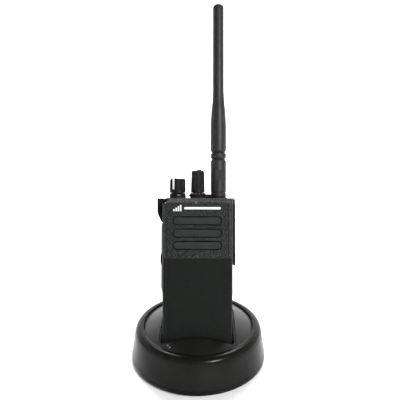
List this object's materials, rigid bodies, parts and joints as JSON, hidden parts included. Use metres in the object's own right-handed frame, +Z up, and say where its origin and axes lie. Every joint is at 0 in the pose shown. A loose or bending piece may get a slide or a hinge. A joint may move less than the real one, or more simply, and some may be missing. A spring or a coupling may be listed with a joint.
{
  "type": "two way radio",
  "caption": "Handheld two way radio with antenna, turning knobs, press buttons, belt clip and battery, standing in a round desktop charger.",
  "frame": {"origin": "centre of the charger's rubber foot ring, on the surface it stands on", "axes": "+Z up, -Y towards the front of the radio and charger, +X to the right seen from the front"},
  "size_m": [0.0968, 0.1104, 0.2485],
  "materials": {
    "charger_shell": "satin moulded",
    "charger_dish": "satin",
    "rubber": "matte",
    "board": "solder mask",
    "jack_plastic": "moulded",
    "light_guide": "translucent",
    "contact_plastic": "moulded",
    "steel": "plated",
    "gold": "plated",
    "case_plastic": "fine texture",
    "grille_plastic": "smooth satin",
    "mesh_cloth": "woven",
    "cone_paper": "pressed",
    "lens_clear": "clear",
    "pale_ink": "printed",
    "seal_rubber": "matte",
    "shield_steel": "tinned",
    "antenna_rubber": "moulded",
    "brass": "turned",
    "pot_metal": "pressed",
    "knob_plastic": "satin",
    "cell_wrap": "shrink wrap",
    "orange_plastic": "moulded",
    "button_rubber": "matte"
  },
  "bodies": {
    "charger": {"charger_housing": "charger_shell", "charger_bowl": "charger_dish", "charger_base": "charger_shell", "charger_foot_ring": "rubber", "charger_board": "board", "charger_jack": "jack_plastic", "charger_light": "light_guide", "contact_block": "contact_plastic", "contact_springs": "steel", "charger_screws": "steel"},
    "charge_pins": {"charge_pins": "gold"},
    "radio": {"front_housing": "case_plastic", "grille_pads": "grille_plastic", "speaker_mesh": "mesh_cloth", "speaker_frame": "steel", "speaker_cone": "cone_paper", "speaker_magnet": "steel", "microphone": "steel", "status_lens": "lens_clear", "name_bar": "pale_ink", "main_chassis": "case_plastic", "body_seal": "seal_rubber", "main_board": "board", "shield_cans": "shield_steel", "control_top": "case_plastic", "channel_ring": "grille_plastic", "dial_marks": "pale_ink", "antenna_socket": "brass", "antenna_sheath": "antenna_rubber", "antenna_coil": "steel", "antenna_stud": "brass", "volume_pot": "pot_metal", "channel_switch": "pot_metal", "key_membrane": "rubber", "side_bezel": "button_rubber", "accessory_socket": "jack_plastic", "accessory_contacts": "gold", "cover_pin": "steel", "battery_case": "case_plastic", "battery_cover": "case_plastic", "battery_cells": "cell_wrap", "charge_pads": "gold", "clip_bracket": "case_plastic", "clip_pin": "steel", "body_screws": "steel", "latch_spring": "steel"},
    "volume_knob": {"volume_knob": "knob_plastic", "volume_index": "pale_ink", "volume_shaft": "steel"},
    "channel_knob": {"channel_knob": "knob_plastic", "channel_shaft": "steel"},
    "emergency_button": {"emergency_button": "orange_plastic"},
    "ptt_button": {"ptt_button": "button_rubber"},
    "side_button_upper": {"side_button_upper": "button_rubber"},
    "side_button_lower": {"side_button_lower": "button_rubber"},
    "dust_cover": {"dust_cover": "case_plastic"},
    "cover_screw": {"cover_screw": "knob_plastic"},
    "belt_clip": {"belt_clip": "case_plastic", "clip_spring": "steel"},
    "battery_latch": {"battery_latch": "knob_plastic"}
  },
  "joints": [
    {"name": "radio_lift", "type": "slide", "parent": "charger", "child": "radio", "axis": [0, 0.2756, 0.9613], "range_m": [0, 0.06]},
    {"name": "charge_pin_press", "type": "slide", "parent": "charger", "child": "charge_pins", "axis": [0, 0.9613, -0.2756], "range_m": [0, 0.0009], "stiffness_N_per_m": 400, "springref_m": -0.00045, "deforming": ["contact_springs"]},
    {"name": "volume_turn", "type": "hinge", "parent": "radio", "child": "volume_knob", "pos_m": [-0.0146, 0.01878, 0.11546], "axis": [0, 0.2756, 0.9613], "range_deg": [-160, 110]},
    {"name": "channel_turn", "type": "hinge", "parent": "radio", "child": "channel_knob", "pos_m": [-0.0002, 0.01878, 0.11546], "axis": [0, 0.2756, 0.9613], "range_deg": [-180, 157.5]},
    {"name": "emergency_press", "type": "slide", "parent": "radio", "child": "emergency_button", "axis": [0, -0.2756, -0.9613], "range_m": [0, 0.0012], "stiffness_N_per_m": 900, "springref_m": -0.0006},
    {"name": "ptt_press", "type": "slide", "parent": "radio", "child": "ptt_button", "axis": [1, 0, 0], "range_m": [0, 0.0012], "stiffness_N_per_m": 900, "springref_m": -0.0006},
    {"name": "side_button_upper_press", "type": "slide", "parent": "radio", "child": "side_button_upper", "axis": [1, 0, 0], "range_m": [0, 0.0006], "stiffness_N_per_m": 900, "springref_m": -0.0003},
    {"name": "side_button_lower_press", "type": "slide", "parent": "radio", "child": "side_button_lower", "axis": [1, 0, 0], "range_m": [0, 0.0006], "stiffness_N_per_m": 900, "springref_m": -0.0003},
    {"name": "dust_cover_swing", "type": "hinge", "parent": "radio", "child": "dust_cover", "pos_m": [0.0252, 0.01555, 0.11327], "axis": [0, -0.9613, 0.2756], "range_deg": [0, 75]},
    {"name": "cover_screw_turn", "type": "hinge", "parent": "dust_cover", "child": "cover_screw", "pos_m": [0.0256, 0.00511, 0.07361], "axis": [1, 0, 0], "continuous": true},
    {"name": "belt_clip_open", "type": "hinge", "parent": "radio", "child": "belt_clip", "pos_m": [0, 0.03408, 0.08611], "axis": [1, 0, 0], "range_deg": [0, 16], "stiffness_Nm_per_rad": 0.5, "springref_deg": -11.46},
    {"name": "battery_latch_slide", "type": "slide", "parent": "radio", "child": "battery_latch", "axis": [0, -0.9613, 0.2756], "range_m": [0, 0.0018], "stiffness_N_per_m": 500, "springref_m": -0.0009, "deforming": ["latch_spring"]}
  ]
}
